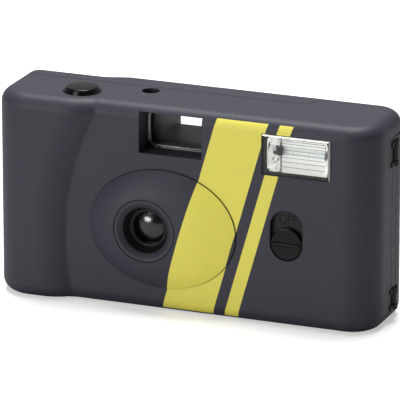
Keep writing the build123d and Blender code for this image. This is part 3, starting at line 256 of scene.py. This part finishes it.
def glossy(name, colour, roughness=0.14):
    """Polished plastic with faint smears."""
    g = Graph(name)
    smears = g.span(g.noise(3 * MM, 4.0, (1, 3, 1)), roughness - 0.04, roughness + 0.08)
    normal = g.relief(g.noise(1.8 * MM), 0.004 * MM, g.soft_edges(0.12 * MM))
    shade = g.blend(g.noise(5 * MM), linear(colour), linear(colour, 1.2))
    return g.principled(
        Base__Color=shade, Roughness=smears, Normal=normal, Specular__IOR__Level=POLISHED_SPECULAR)


def window(name, tint, gloss, roughness=0.02):
    """Thin clear plastic or glass: light passes straight through, and a share is mirrored."""
    grazing_gain = 3
    g = Graph(name)
    shade = g.blend(g.noise(6 * MM), linear(tint), linear(tint, 0.97))
    clear = g.feed(g.add("ShaderNodeBsdfTransparent"), Color=shade)
    waves = g.relief(g.noise(2.5 * MM), 0.004 * MM)
    rough = g.span(g.noise(2 * MM, 3.0), roughness, roughness + 0.02)
    mirror = g.feed(g.add("ShaderNodeBsdfGlossy"), Color=(1, 1, 1, 1), Roughness=rough, Normal=waves)
    facing = g.feed(g.add("ShaderNodeLayerWeight"), Blend=0.25).outputs["Facing"]
    share = g.math("MULTIPLY_ADD", facing, grazing_gain * gloss, gloss)
    mix = g.feed(g.add("ShaderNodeMixShader"), Fac=share)
    g.tree.links.new(clear.outputs[0], mix.inputs[1])
    g.tree.links.new(mirror.outputs[0], mix.inputs[2])
    g.tree.links.new(mix.outputs[0], g.output.inputs["Surface"])
    return g.material


def metal(name, colour, roughness, brush=(1, 1, 1), depth=0.006):
    """Metal with fine scratches that run along the stretched axis."""
    g = Graph(name)
    scratch = g.noise(0.25 * MM, 4.0, brush)
    shade = g.blend(g.noise(4 * MM, 3.0), linear(colour, 0.9), linear(colour, 1.05))
    return g.principled(
        Base__Color=shade, Metallic=1.0, Roughness=g.span(scratch, roughness - 0.06, roughness + 0.1),
        Normal=g.relief(scratch, depth * MM, g.soft_edges(0.08 * MM)))


def foil(name, metallic, roughness, glow):
    """Bright foil with fine wrinkles. Its faint glow is painted light, standing in for light gathered in the
    reflector, and lifts its tone.
    """
    g = Graph(name)
    wrinkles = g.noise(0.7 * MM, 4.0, (3, 1, 1))
    shade = g.blend(wrinkles, (1.0, 1.0, 1.0, 1.0), linear((0.95, 0.95, 0.95)))
    return g.principled(
        Base__Color=shade, Metallic=metallic, Roughness=roughness, Normal=g.relief(wrinkles, 0.02 * MM),
        Emission__Color=(1.0, 1.0, 1.0, 1.0), Emission__Strength=glow)


def pale_edge_highlight(name):
    """Outer edge of clear plastic with a fine grain, painted pale as a highlight for the light it pipes."""
    g = Graph(name)
    grain = g.noise(0.4 * MM, 3.0)
    shade = g.blend(grain, linear((0.98, 0.98, 0.95)), linear((0.90, 0.90, 0.86)))
    return g.principled(
        Base__Color=shade, Roughness=g.span(grain, 0.2, 0.4), Normal=g.relief(grain, 0.01 * MM))


def circuit_board(name):
    """Green board with lighter traces and tinned pads."""
    traces_per_metre = 420.0
    g = Graph(name)
    traces = g.add("ShaderNodeTexBrick", offset=0.37, squash=0.6)
    g.feed(traces, Vector=g.place, Scale=traces_per_metre, Color1=linear((0.16, 0.36, 0.22)),
           Color2=linear((0.13, 0.31, 0.19)), Mortar=linear((0.25, 0.47, 0.30)))
    return g.principled(
        Base__Color=traces.outputs["Color"], Roughness=g.span(g.noise(1.0 * MM), 0.3, 0.45),
        Normal=g.relief(traces.outputs["Fac"], 0.03 * MM))


def felt(name):
    """Light seal: short dark pile."""
    g = Graph(name)
    pile = g.noise(0.18 * MM, 5.0)
    shade = g.blend(pile, linear((0.05, 0.05, 0.055)), linear((0.12, 0.12, 0.125)))
    return g.principled(
        Base__Color=shade, Roughness=0.95, Normal=g.relief(pile, 0.12 * MM), Sheen__Weight=0.25)


MATERIALS = {
    "casing_grey": moulded("casing_grey", GREY, 0.52, 0.012 * MM, 0.14 * MM, stripes=True),
    "black_plastic": moulded("black_plastic", BLACK, 0.42, 0.008 * MM, 0.12 * MM),
    "chassis_black": moulded("chassis_black", DEEP_BLACK, 0.6, 0.02 * MM, 0.1 * MM),
    "gloss_black": glossy("gloss_black", DEEP_BLACK),
    "clear_plastic": window("clear_plastic", (0.985, 0.985, 0.99), 0.010),
    "lens_glass": window("lens_glass", (0.42, 0.42, 0.47), 0.05, 0.17),
    "flash_lens": window("flash_lens", (0.99, 0.99, 0.985), 0.02),
    "flash_glass": window("flash_glass", (0.97, 0.98, 0.98), 0.015),
    # The reflector's glow is painted light that lifts its tone.
    "reflector": foil("reflector", 0.0, 0.3, 0.17),
    "plated_steel": metal("plated_steel", (0.66, 0.66, 0.67), 0.28, (4, 1, 1)),
    "spring_steel": metal("spring_steel", (0.60, 0.60, 0.61), 0.25, (3, 1, 1)),
    "black_metal": moulded("black_metal", BLACK, 0.36, 0.004 * MM, 0.08 * MM),
    "brass_contact": metal("brass_contact", (0.74, 0.60, 0.33), 0.3, (3, 1, 1)),
    "board_green": circuit_board("board_green"),
    "capacitor_black": glossy("capacitor_black", (0.10, 0.10, 0.12), 0.25),
    "lamp_orange": glossy("lamp_orange", (0.78, 0.36, 0.12), 0.2),
    "seal_foam": felt("seal_foam"),
    "dial_white": moulded("dial_white", (0.85, 0.85, 0.83), 0.5, 0.004 * MM, 0.05 * MM),
    "clear_edge": window("clear_edge", (0.80, 0.80, 0.80), 0.09, 0.08),
    "edge_painted_highlight": pale_edge_highlight("edge_painted_highlight"),
    # The creased foil glows with painted light as well.
    "creased_foil_painted_glow": foil("creased_foil_painted_glow", 0.35, 0.10, 0.22),
    "shaded_foil": foil("shaded_foil", 0.95, 0.12, 0.0),
}


def dress_nodes():
    """Give every node of the frame the material that its slot in the record names."""
    for entry in frame["record"]["subparts"]:
        node = frame["nodes"][entry["node"]]
        material = MATERIALS[entry["material_slot"]]
        if not node.material_slots:
            node.data.materials.append(material)
        for slot in node.material_slots:
            slot.material = material


# Detailed pieces

def add_piece(name, mesh, body, slot):
    """Place a mesh that is already in the frame's coordinates."""
    piece = bpy.data.objects.new(name, mesh)
    bpy.context.scene.collection.objects.link(piece)
    mesh.materials.clear()
    mesh.materials.append(MATERIALS[slot])
    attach(piece, body)
    return piece


def mesh_of_curve(curve, matrix):
    """Mesh of a curve or text, moved into place."""
    holder = bpy.data.objects.new("holder", curve)
    bpy.context.scene.collection.objects.link(holder)
    bpy.context.view_layer.update()
    evaluated = holder.evaluated_get(bpy.context.evaluated_depsgraph_get())
    mesh = bpy.data.meshes.new_from_object(evaluated)
    bpy.data.objects.remove(holder)
    mesh.transform(matrix)
    return mesh


def label(name, words, size, depth, place, turn, body, slot):
    """Raised lettering, such as the words beside a switch or the numbers on a dial."""
    stroke_gain = 0.006 * MM
    text = bpy.data.curves.new(name, "FONT")
    text.body = words
    text.size = size
    text.extrude = depth / 2
    text.align_x = "CENTER"
    text.align_y = "CENTER"
    text.offset = stroke_gain
    return add_piece(name, mesh_of_curve(text, Matrix.Translation(place) @ turn), body, slot)


def coil(name, centre, radii, heights, wire, turns, body, slot="spring_steel"):
    """A wound spring along Z, whose radius may change from its low to its high end."""
    curve = bpy.data.curves.new(name, "CURVE")
    curve.dimensions = "3D"
    curve.bevel_depth = wire
    curve.bevel_resolution = 3
    steps_per_turn = 16
    count = int(turns * steps_per_turn) + 1
    spline = curve.splines.new("NURBS")
    spline.points.add(count - 1)
    for index, point in enumerate(spline.points):
        share = index / (count - 1)
        angle = share * turns * 2 * math.pi
        radius = radii[0] + (radii[1] - radii[0]) * share
        height = heights[0] + wire + (heights[1] - heights[0] - 2 * wire) * share
        point.co = (centre[0] + radius * math.cos(angle), centre[1] + radius * math.sin(angle), height, 1)
    spline.order_u = 4
    spline.use_endpoint_u = True
    mesh = mesh_of_curve(curve, Matrix.Identity(4))
    for face in mesh.polygons:
        face.use_smooth = True
    return add_piece(name, mesh, body, slot)


FACE_FRONT = Matrix.Rotation(math.pi / 2, 4, "X")


def add_switch_words():
    """OFF above the knob and ON below it, raised from the floor of the switch slot."""
    low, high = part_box("switch_panel")
    knob_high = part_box("flash_switch")[1]
    middle_x = (low.x + high.x) / 2
    floor_y = -11.5 * MM
    relief = 0.05 * MM
    letter_size = 3.2 * MM
    letter_stretch = 1.35
    drop = 0.5 * MM
    above = (knob_high.z + high.z) / 2 - drop
    below = low.z + high.z - above
    taller = FACE_FRONT @ Matrix.Scale(letter_stretch, 4, (0, 1, 0))
    for name, words, z in (("word_off", "OFF", above), ("word_on", "ON", below)):
        place = Vector((middle_x, floor_y - relief / 2, z))
        label(name, words, letter_size, relief, place, taller, "casing", "gloss_black")


def add_dial_numbers():
    """Numbers on the frame counter, at the radius that shows in its window."""
    low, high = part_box("counter_dial")
    centre = (low + high) / 2
    radius = 6.6 * MM
    numbers = 8
    frames_between = 5
    size = 1.5 * MM
    relief = 0.04 * MM
    lift = 0.03 * MM
    window_x = -15.9 * MM
    window_y = 2.6 * MM
    window_angle = math.atan2(window_y - centre.y, window_x - centre.x)
    for index in range(numbers):
        angle = window_angle + (index + 0.5) * 2 * math.pi / numbers
        place = Vector((
            centre.x + radius * math.cos(angle), centre.y + radius * math.sin(angle), high.z + lift))
        turn = Matrix.Rotation(angle + math.pi / 2, 4, "Z")
        value = str(index * frames_between)
        number = label(
            "dial_number_" + value, value, size, relief, place, turn, "dial", "black_plastic")
        number.material_slots[0].material = MATERIALS["dial_white"]


def spring_from_node(node, radii, wire, turns, body):
    """A wound spring in the space of a plain spring solid that stands along Z."""
    low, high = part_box(node)
    centre = (low + high) / 2
    piece = coil(node + "_wire", centre, radii, (low.z, high.z), wire, turns, body)
    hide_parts(node)
    return piece


def add_springs():
    """Wound wire for the button's spring and the battery's."""
    button = spring_from_node("button_spring", (3.0 * MM, 3.0 * MM), 0.2 * MM, 3.0, "casing")
    low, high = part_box("button_spring")
    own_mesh(button)
    spring_from_node("battery_spring", (2.4 * MM, 4.2 * MM), 0.22 * MM, 4.0, "casing")


def piece_from_faces(name, points, faces, body, slot):
    """Piece made of points and faces that are in the frame's coordinates."""
    mesh = bpy.data.meshes.new(name)
    mesh.from_pydata([tuple(point) for point in points], [], faces)
    mesh.update()
    return add_piece(name, mesh, body, slot)


def add_flash_cover():
    """Clear flash cover with a bevelled front, whose top and right edges are painted pale as a highlight."""
    low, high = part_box("flash_cover")
    corner = 0.4 * MM
    front_bevel = 0.32 * MM
    bright_limit = 0.6
    shape = bmesh.new()
    bmesh.ops.create_cube(shape, size=1.0)
    bmesh.ops.scale(shape, verts=shape.verts, vec=high - low)
    bmesh.ops.translate(shape, verts=shape.verts, vec=(low + high) / 2)
    upright = [e for e in shape.edges if abs(e.verts[0].co.y - e.verts[1].co.y) > 1e-6]
    bmesh.ops.bevel(shape, geom=upright, offset=corner, segments=4, profile=0.5, affect="EDGES")
    front = [e for e in shape.edges if all(abs(v.co.y - low.y) < 1e-7 for v in e.verts)]
    bmesh.ops.bevel(shape, geom=front, offset=front_bevel, segments=3, profile=0.5, affect="EDGES")
    mesh = bpy.data.meshes.new("flash_cover_clear")
    shape.to_mesh(mesh)
    shape.free()
    piece = add_piece("flash_cover_clear", mesh, "casing", "flash_lens")
    mesh.materials.append(MATERIALS["edge_painted_highlight"])
    # Faces turned up or to the right get the painted highlight.
    for face in mesh.polygons:
        if max(face.normal.x, face.normal.z) > bright_limit:
            face.material_index = 1
    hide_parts("flash_cover")


def trough_profile(half_height, mouth, rear, facets, groove):
    """Depth and height along the reflector's section, with a fine groove between facets."""
    steepness = 2.6

    def depth(height):
        return rear - (rear - mouth) * (abs(height) / half_height) ** steepness

    profile = []
    for index in range(facets + 1):
        height = half_height * (1 - 2 * index / facets)
        if 0 < index < facets:
            profile.append((depth(height), height + groove))
            profile.append((depth(height) + 2 * groove, height))
            profile.append((depth(height), height - groove))
        else:
            profile.append((mouth, height))
    return profile


def rounded_side(half_width, half_height, corner, lip):
    """Half outline of the mouth, from the trough's top end round the side to its low end."""
    outline = []
    arc_steps = 6
    straight_steps = 8
    for step in range(straight_steps):
        share = step / straight_steps
        outline.append((lip + (half_width - corner - lip) * share, half_height))
    for step in range(arc_steps + 1):
        angle = math.pi / 2 * (1 - step / arc_steps)
        outline.append((
            half_width - corner + corner * math.cos(angle), half_height - corner + corner * math.sin(angle)))
    return outline + [(x, -z) for x, z in reversed(outline)]


def add_reflector():
    """Reflector with grooved facets along it and a creased foil cap at each end."""
    low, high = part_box("flash_reflector")
    middle = (low + high) / 2
    half_width = 9.3 * MM
    half_height = 5.2 * MM
    corner = 1.3 * MM
    longest_lip = half_width - 1.4 * MM
    mouth = low.y + 0.05 * MM
    rear = high.y - 0.5 * MM
    facets = 10
    groove = 0.06 * MM
    profile = trough_profile(half_height, mouth, rear, facets, groove)

    def end_of_trough(start, slope):
        """The profile at a distance from the middle, which shifts to the left towards the rear."""
        return [Vector((middle.x + start - slope * (y - mouth), y, middle.z + z)) for y, z in profile]

    left_end = end_of_trough(-4.8 * MM, 0.38)
    right_end = end_of_trough(8.9 * MM, 0.45)
    points = left_end + right_end
    count = len(profile)
    faces = [(k, count + k, count + k + 1, k + 1) for k in range(count - 1)]
    # The trough's foil glows with painted light.
    trough = piece_from_faces("flash_reflector_trough", points, faces, "casing", "reflector")
    trough.data.materials.append(MATERIALS["chassis_black"])
    # Of every three strips, the first is a facet and the others are the sides of a groove, painted black as
    # shade in the groove
    for index, face in enumerate(trough.data.polygons):
        face.material_index = int(index % 3 > 0)
    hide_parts("flash_reflector")
    for side, end in ((-1, left_end), (1, right_end)):
        lip = abs(end[0].x - middle.x) + CAP_GAP
        outline = [
            Vector((middle.x + side * x, mouth, middle.z + z))
            for x, z in rounded_side(half_width, half_height, corner, min(lip, longest_lip))]
        add_foil_cap(side, end, outline)


def point_along(line, share):
    """Point at a share of the way along a line of points."""
    place = share * (len(line) - 1)
    base = min(int(place), len(line) - 2)
    return line[base].lerp(line[base + 1], place - base)


def add_foil_cap(side, trough_end, outline):
    """Creased cap between the edge of the mouth and the end of the trough."""
    draw = random.Random(11 + side)
    steps = 30
    rows = 6
    crease_size = 0.7
    sideways = 0.5
    shaded_share_high = 0.42
    shaded_share_low = 0.16
    gap = Vector((side * CAP_GAP, 0, 0))
    points = []
    for row in range(rows + 1):
        for index in range(steps + 1):
            share = index / steps
            point = point_along(outline, share).lerp(point_along(trough_end, share) + gap, row / rows)
            if 0 < row < rows and 0 < index < steps:
                crease = math.sin(share * math.pi) * crease_size
                shift = Vector((draw.uniform(-sideways, sideways), draw.uniform(-1.0, 1.0), 0))
                point += shift * crease * MM
            points.append(point)
    wide = steps + 1
    faces = []
    for row in range(rows):
        for index in range(steps):
            corner = row * wide + index
            if (row + index) % 2:
                faces.append((corner, corner + 1, corner + wide))
                faces.append((corner + 1, corner + wide + 1, corner + wide))
            else:
                faces.append((corner, corner + 1, corner + wide + 1))
                faces.append((corner, corner + wide + 1, corner + wide))
    name = "flash_foil_left" if side < 0 else "flash_foil_right"
    # The cap's creased foil glows with painted light.
    cap = piece_from_faces(name, points, faces, "casing", "reflector")
    cap.material_slots[0].material = MATERIALS["creased_foil_painted_glow"]
    cap.data.materials.append(MATERIALS["shaded_foil"])
    upper_z = outline[len(outline) // 2].z + 0.5 * MM
    for face in cap.data.polygons:
        share = shaded_share_high if face.center.z > upper_z else shaded_share_low
        face.material_index = int(draw.random() < share)


def add_tube_ends():
    """Metal ferrule on each end of the flash tube."""
    low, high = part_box("flash_tube")
    middle = (low + high) / 2
    radius = (high.z - low.z) / 2
    around = 24
    # Radius as a share of the tube's, then the place along the ferrule
    profile = ((1.02, 0.0), (1.16, 0.12), (1.16, 0.88), (1.02, 1.0))
    ends = (
        ("flash_ferrule_left", -1, 5.9 * MM, 1.5 * MM, "black_metal"),
        ("flash_ferrule_right", 1, 7.4 * MM, 0.15 * MM, "plated_steel"),
    )
    for name, side, start, length, slot in ends:
        points = []
        for scale, along in profile:
            x = middle.x + side * (start + along * length)
            for step in range(around):
                angle = 2 * math.pi * step / around
                ring = radius * scale
                points.append((x, middle.y + ring * math.cos(angle), middle.z + ring * math.sin(angle)))
        faces = []
        for row in range(len(profile) - 1):
            for step in range(around):
                after = (step + 1) % around
                base = row * around
                faces.append((base + step, base + after, base + around + after, base + around + step))
        faces.append(tuple(range(around)))
        faces.append(tuple(range((len(profile) - 1) * around, len(profile) * around)))
        piece_from_faces(name, points, faces, "casing", slot)


def add_finder_lens():
    """Finder window with a shallow dish in front, whose rim is rounded at the corners."""
    low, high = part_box("finder_window")
    middle = (low + high) / 2
    half = (high - low) / 2
    columns = 96
    rows = 64
    rim = 0.45 * MM
    slope = 0.75 * MM
    corner = 3.4 * MM
    dish = 0.5 * MM
    sloping_limit = 0.97
    points = []
    for row in range(rows + 1):
        for column in range(columns + 1):
            x = half.x * (2 * column / columns - 1)
            z = half.z * (2 * row / rows - 1)
            over_x = max(abs(x) - (half.x - corner), 0.0)
            over_z = max(abs(z) - (half.z - corner), 0.0)
            inside = corner - math.hypot(over_x, over_z) if over_x and over_z else min(
                half.x - abs(x), half.z - abs(z))
            share = min(max((inside - rim) / slope, 0.0), 1.0)
            depth = dish * math.sin(share * math.pi / 2)
            points.append((middle.x + x, low.y + depth, middle.z + z))
    wide = columns + 1
    faces = []
    for row in range(rows):
        for column in range(columns):
            base = row * wide + column
            faces.append((base, base + 1, base + wide + 1, base + wide))
    back = len(points)
    for x, z in ((low.x, low.z), (high.x, low.z), (high.x, high.z), (low.x, high.z)):
        points.append((x, high.y, z))
    faces.append((back, back + 3, back + 2, back + 1))
    faces.append(tuple(range(columns, -1, -1)) + (back, back + 1))
    faces.append(tuple(rows * wide + k for k in range(wide)) + (back + 2, back + 3))
    faces.append(tuple(k * wide for k in range(rows + 1)) + (back + 3, back))
    faces.append(tuple(k * wide + columns for k in range(rows, -1, -1)) + (back + 1, back + 2))
    piece = piece_from_faces("finder_window_dished", points, faces, "casing", "clear_plastic")
    piece.data.materials.append(MATERIALS["clear_edge"])
    for face in piece.data.polygons[:rows * columns]:
        face.use_smooth = True
        face.material_index = int(abs(face.normal.y) < sloping_limit)
    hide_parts("finder_window")


# Stage: floor, lamps, world and camera

def add_floor():
    """Pale floor that keeps a soft shadow, looks white to the camera and lights the object less."""
    g = Graph("floor")
    pale = g.feed(g.add("ShaderNodeBsdfDiffuse"), Color=(FLOOR_SEEN, FLOOR_SEEN, FLOOR_SEEN, 1.0))
    dimmer = g.feed(g.add("ShaderNodeBsdfDiffuse"), Color=(FLOOR_BOUNCE, FLOOR_BOUNCE, FLOOR_BOUNCE, 1.0))
    glow = g.feed(g.add("ShaderNodeEmission"), Color=(1, 1, 1, 1), Strength=FLOOR_GLOW)
    both = g.add("ShaderNodeAddShader")
    g.tree.links.new(pale.outputs[0], both.inputs[0])
    g.tree.links.new(glow.outputs[0], both.inputs[1])
    seen = g.add("ShaderNodeLightPath").outputs["Is Camera Ray"]
    choice = g.feed(g.add("ShaderNodeMixShader"), Fac=seen)
    g.tree.links.new(dimmer.outputs[0], choice.inputs[1])
    g.tree.links.new(both.outputs[0], choice.inputs[2])
    g.tree.links.new(choice.outputs[0], g.output.inputs["Surface"])
    bpy.ops.mesh.primitive_plane_add(size=FLOOR_SIZE, location=(0, 0, cad_box[0][2] - FLOOR_GAP))
    floor = bpy.context.active_object
    floor.name = "floor"
    floor.data.materials.append(g.material)


def add_world():
    """White to the camera and through glass. Reflections see it dim, and dimmest in front."""
    front_y = -0.5
    back_y = 0.7
    world = bpy.data.worlds.new("studio")
    world.use_nodes = True
    tree = world.node_tree
    background = tree.nodes["Background"]
    background.inputs["Color"].default_value = (1, 1, 1, 1)
    path = tree.nodes.new("ShaderNodeLightPath").outputs

    def choose(ray, otherwise, value):
        """The value for one kind of ray, and the other strength for the rest."""
        mix = tree.nodes.new("ShaderNodeMix")
        tree.links.new(path[ray], mix.inputs["Factor"])
        for socket, given in ((mix.inputs["A"], otherwise), (mix.inputs["B"], value)):
            if isinstance(given, bpy.types.NodeSocket):
                tree.links.new(given, socket)
            else:
                socket.default_value = given
        return mix.outputs[0]

    direction = tree.nodes.new("ShaderNodeSeparateXYZ")
    tree.links.new(tree.nodes.new("ShaderNodeTexCoord").outputs["Generated"], direction.inputs[0])
    wall = tree.nodes.new("ShaderNodeMapRange")
    tree.links.new(direction.outputs["Y"], wall.inputs["Value"])
    limits = (
        ("From Min", front_y), ("From Max", back_y), ("To Min", GLOSS_FRONT), ("To Max", GLOSS_BACK))
    for name, value in limits:
        wall.inputs[name].default_value = value
    strength = choose("Is Glossy Ray", AMBIENT, wall.outputs[0])
    strength = choose("Is Transmission Ray", strength, 1.0)
    strength = choose("Is Camera Ray", strength, 1.0)
    tree.links.new(strength, background.inputs["Strength"])
    bpy.context.scene.world = world


def add_lamp(name, place, size, power):
    """Oval lamp that faces the object."""
    lamp = bpy.data.lights.new(name, "AREA")
    lamp.shape = "ELLIPSE"
    lamp.size = size[0]
    lamp.size_y = size[1]
    lamp.energy = power
    holder = bpy.data.objects.new(name, lamp)
    holder.location = place
    aim = Vector(place) - LOOK_AT
    holder.rotation_euler = aim.to_track_quat("Z", "Y").to_euler()
    bpy.context.scene.collection.objects.link(holder)


def add_camera():
    """Camera at the photograph's view."""
    camera = bpy.data.cameras.new("camera")
    camera.lens = VIEW_LENS
    camera.sensor_width = SENSOR_WIDTH
    holder = bpy.data.objects.new("camera", camera)
    back = Vector((
        math.sin(VIEW_TURN) * math.cos(VIEW_RISE),
        -math.cos(VIEW_TURN) * math.cos(VIEW_RISE),
        math.sin(VIEW_RISE),
    ))
    holder.location = LOOK_AT + back * VIEW_DISTANCE
    holder.rotation_euler = back.to_track_quat("Z", "Y").to_euler()
    bpy.context.scene.collection.objects.link(holder)
    bpy.context.scene.camera = holder


dress_nodes()
add_switch_words()
add_dial_numbers()
add_springs()
add_flash_cover()
add_reflector()
add_tube_ends()
add_finder_lens()
add_floor()
add_world()
for lamp_settings in LAMPS:
    add_lamp(*lamp_settings)
add_camera()
bpy.context.scene.view_settings.view_transform = "Standard"
